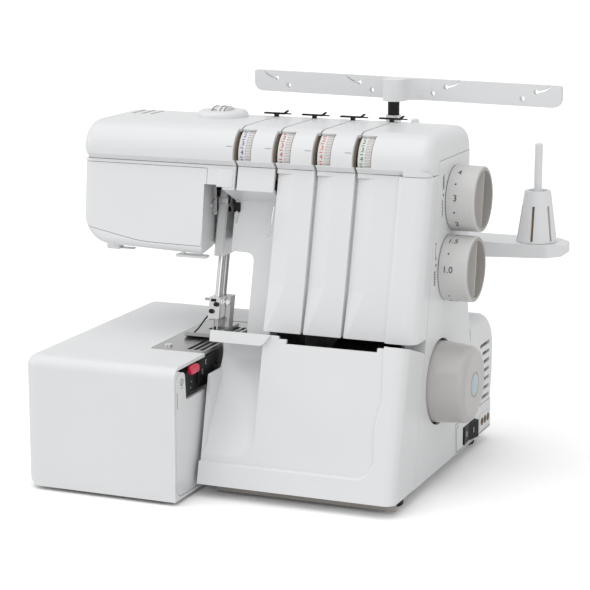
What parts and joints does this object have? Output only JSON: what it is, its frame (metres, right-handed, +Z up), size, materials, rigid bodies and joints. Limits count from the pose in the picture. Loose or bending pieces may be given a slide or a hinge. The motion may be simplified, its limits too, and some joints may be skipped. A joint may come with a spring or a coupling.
{
  "type": "overlock sewing machine",
  "caption": "White household overlock machine with leaning front, tension dials, side dials, handwheel, free arm with slide-on table, hinged looper cover and telescopic thread stand.",
  "frame": {"origin": "middle of the bounding box's footprint, on the floor plane under the rubber feet", "axes": "+X to the operator's right along the long side, +Y away from the operator, +Z up"},
  "size_m": [0.35, 0.272, 0.2914],
  "materials": {
    "white_shell": "satin moulded white",
    "grey_dial": "satin warm grey",
    "pale_dial": "satin pale grey with printed marks",
    "dark_plastic": "matt black",
    "red_plastic": "gloss red",
    "cast_frame": "as cast",
    "steel": "ground steel",
    "bright_steel": "polished plate",
    "bearing_brass": "turned",
    "motor_paint": "dark paint",
    "pulley": "moulded",
    "rubber": "matt"
  },
  "bodies": {
    "machine": {"base_tray": "white_shell", "case_screws": "bright_steel", "cover_hinge_rod": "steel", "drive_belt": "rubber", "drive_motor": "motor_paint", "free_arm": "white_shell", "head_cover": "white_shell", "head_panel": "white_shell", "looper_bay_panel": "dark_plastic", "lower_knife": "steel", "main_frame": "cast_frame", "motor_cover": "white_shell", "needle_bar_guide": "bright_steel", "needle_plate": "steel", "pole_tube": "bright_steel", "power_inlet": "dark_plastic", "power_plate": "white_shell", "rear_cover": "white_shell", "right_side_cover": "white_shell", "rubber_feet": "rubber", "shaft_bushes": "bearing_brass", "spool_pins": "white_shell", "spool_stand": "white_shell", "tension_panel": "white_shell", "tension_spindle": "steel", "thread_guides": "dark_plastic", "top_cover": "white_shell"},
    "drive_line": {"handwheel": "grey_dial", "main_shaft": "steel", "shaft_pulley": "pulley"},
    "motor_rotor": {"motor_pulley": "pulley"},
    "needle_drive": {"needle_rocker": "steel"},
    "needle_group": {"needle_bar": "bright_steel", "needle_clamp": "bright_steel", "needles": "steel"},
    "presser_group": {"presser_bar": "steel", "presser_foot": "steel"},
    "lifter": {"presser_lifter": "steel"},
    "looper_low": {"lower_looper": "steel"},
    "looper_high": {"upper_looper": "steel"},
    "knife": {"upper_knife": "steel"},
    "feed": {"feed_dogs": "steel"},
    "stitch_dial": {"stitch_length_dial": "grey_dial"},
    "feed_dial": {"differential_feed_dial": "grey_dial"},
    "pressure": {"pressure_dial": "pale_dial"},
    "tension_1": {"tension_dial_1": "pale_dial"},
    "tension_2": {"tension_dial_2": "pale_dial"},
    "tension_3": {"tension_dial_3": "pale_dial"},
    "tension_4": {"tension_dial_4": "pale_dial"},
    "sleeve": {"hinge_sleeve": "steel"},
    "front_cover": {"looper_cover": "white_shell"},
    "table": {"extension_table": "white_shell"},
    "button": {"release_button": "red_plastic"},
    "switch": {"power_switch": "dark_plastic"},
    "pole": {"pole_rod": "bright_steel"},
    "guide": {"thread_guide_bar": "white_shell"},
    "cone_1": {"spool_cone_1": "white_shell"},
    "cone_2": {"spool_cone_2": "white_shell"},
    "cone_3": {"spool_cone_3": "white_shell"},
    "cone_4": {"spool_cone_4": "white_shell"}
  },
  "joints": [
    {"name": "handwheel_spin", "type": "hinge", "parent": "machine", "child": "drive_line", "pos_m": [0.106, -0.005, 0.0775], "axis": [1, 0, 0], "continuous": true},
    {"name": "motor_spin", "type": "hinge", "parent": "machine", "child": "motor_rotor", "pos_m": [0.062, 0.097, 0.052], "axis": [1, 0, 0], "continuous": true},
    {"name": "rocker_swing", "type": "hinge", "parent": "machine", "child": "needle_drive", "pos_m": [-0.084, 0.042, 0.205], "axis": [-1, 0, 0], "range_deg": [-5.1, 25.1]},
    {"name": "needle_stroke", "type": "slide", "parent": "machine", "child": "needle_group", "axis": [0, 0.237, 0.9715], "range_m": [-0.00287, 0.01435]},
    {"name": "lifter_swing", "type": "hinge", "parent": "machine", "child": "lifter", "pos_m": [-0.126, 0.066, 0.192], "axis": [0, 1, 0], "range_deg": [0, 70.1]},
    {"name": "presser_lift", "type": "slide", "parent": "machine", "child": "presser_group", "axis": [0, 0.237, 0.9715], "range_m": [0, 0.006]},
    {"name": "lower_looper_swing", "type": "hinge", "parent": "machine", "child": "looper_low", "pos_m": [-0.046, -0.031, 0.054], "axis": [0, 1, 0], "range_deg": [-10, 15]},
    {"name": "upper_looper_swing", "type": "hinge", "parent": "machine", "child": "looper_high", "pos_m": [-0.031, -0.031, 0.06], "axis": [0, 1, 0], "range_deg": [-4, 10]},
    {"name": "knife_stroke", "type": "slide", "parent": "machine", "child": "knife", "axis": [0, 0, 1], "range_m": [0, 0.006]},
    {"name": "feed_stroke", "type": "slide", "parent": "machine", "child": "feed", "axis": [0, 1, 0], "range_m": [-0.003, 0.003]},
    {"name": "stitch_length_turn", "type": "hinge", "parent": "machine", "child": "stitch_dial", "pos_m": [0.128, 0.025, 0.211], "axis": [1, 0, 0], "range_deg": [0, 270]},
    {"name": "differential_turn", "type": "hinge", "parent": "machine", "child": "feed_dial", "pos_m": [0.128, 0.01, 0.161], "axis": [1, 0, 0], "range_deg": [-90, 90]},
    {"name": "pressure_turn", "type": "hinge", "parent": "machine", "child": "pressure", "pos_m": [-0.086, 0.033, 0.254], "axis": [1, 0, 0], "range_deg": [-120, 120]},
    {"name": "cover_shift", "type": "slide", "parent": "machine", "child": "sleeve", "axis": [1, 0, 0], "range_m": [0, 0.008]},
    {"name": "cover_swing", "type": "hinge", "parent": "sleeve", "child": "front_cover", "pos_m": [-0.035, -0.1005, 0.0125], "axis": [1, 0, 0], "range_deg": [0, 90]},
    {"name": "table_slide", "type": "slide", "parent": "machine", "child": "table", "axis": [-1, 0, 0], "range_m": [0, 0.13]},
    {"name": "release_push", "type": "slide", "parent": "machine", "child": "button", "axis": [-1, 0, 0], "range_m": [0, 0.002], "stiffness_N_per_m": 300},
    {"name": "power_rock", "type": "hinge", "parent": "machine", "child": "switch", "pos_m": [0.1051, 0.068, 0.0196], "axis": [0, 0, 1], "range_deg": [0, 10]},
    {"name": "pole_extend", "type": "slide", "parent": "machine", "child": "pole", "axis": [0, 0, 1], "range_m": [0, 0.12]},
    {"name": "guide_swivel", "type": "hinge", "parent": "pole", "child": "guide", "pos_m": [0.039, 0.076, 0.2748], "axis": [0, 0, 1], "range_deg": [-83, 97]},
    {"name": "tension_turn_1", "type": "hinge", "parent": "machine", "child": "tension_1", "pos_m": [-0.0455, -0.0094, 0.2406], "axis": [1, 0, 0], "range_deg": [-130, 130]},
    {"name": "tension_turn_2", "type": "hinge", "parent": "machine", "child": "tension_2", "pos_m": [-0.014, -0.0094, 0.2406], "axis": [1, 0, 0], "range_deg": [-130, 130]},
    {"name": "tension_turn_3", "type": "hinge", "parent": "machine", "child": "tension_3", "pos_m": [0.0175, -0.0094, 0.2406], "axis": [1, 0, 0], "range_deg": [-130, 130]},
    {"name": "tension_turn_4", "type": "hinge", "parent": "machine", "child": "tension_4", "pos_m": [0.049, -0.0094, 0.2406], "axis": [1, 0, 0], "range_deg": [-130, 130]},
    {"name": "cone_lift_1", "type": "slide", "parent": "machine", "child": "cone_1", "axis": [0, 0, 1], "range_m": [0, 0.062]},
    {"name": "cone_lift_2", "type": "slide", "parent": "machine", "child": "cone_2", "axis": [0, 0, 1], "range_m": [0, 0.062]},
    {"name": "cone_lift_3", "type": "slide", "parent": "machine", "child": "cone_3", "axis": [0, 0, 1], "range_m": [0, 0.062]},
    {"name": "cone_lift_4", "type": "slide", "parent": "machine", "child": "cone_4", "axis": [0, 0, 1], "range_m": [0, 0.062]}
  ],
  "couplings": [
    {"joint": "motor_spin", "follows": "handwheel_spin", "ratio": 3.3333},
    {"joint": "rocker_swing", "follows": "needle_stroke", "rad_per_m": 30.395},
    {"joint": "lifter_swing", "follows": "presser_lift", "rad_per_m": 203.62}
  ]
}
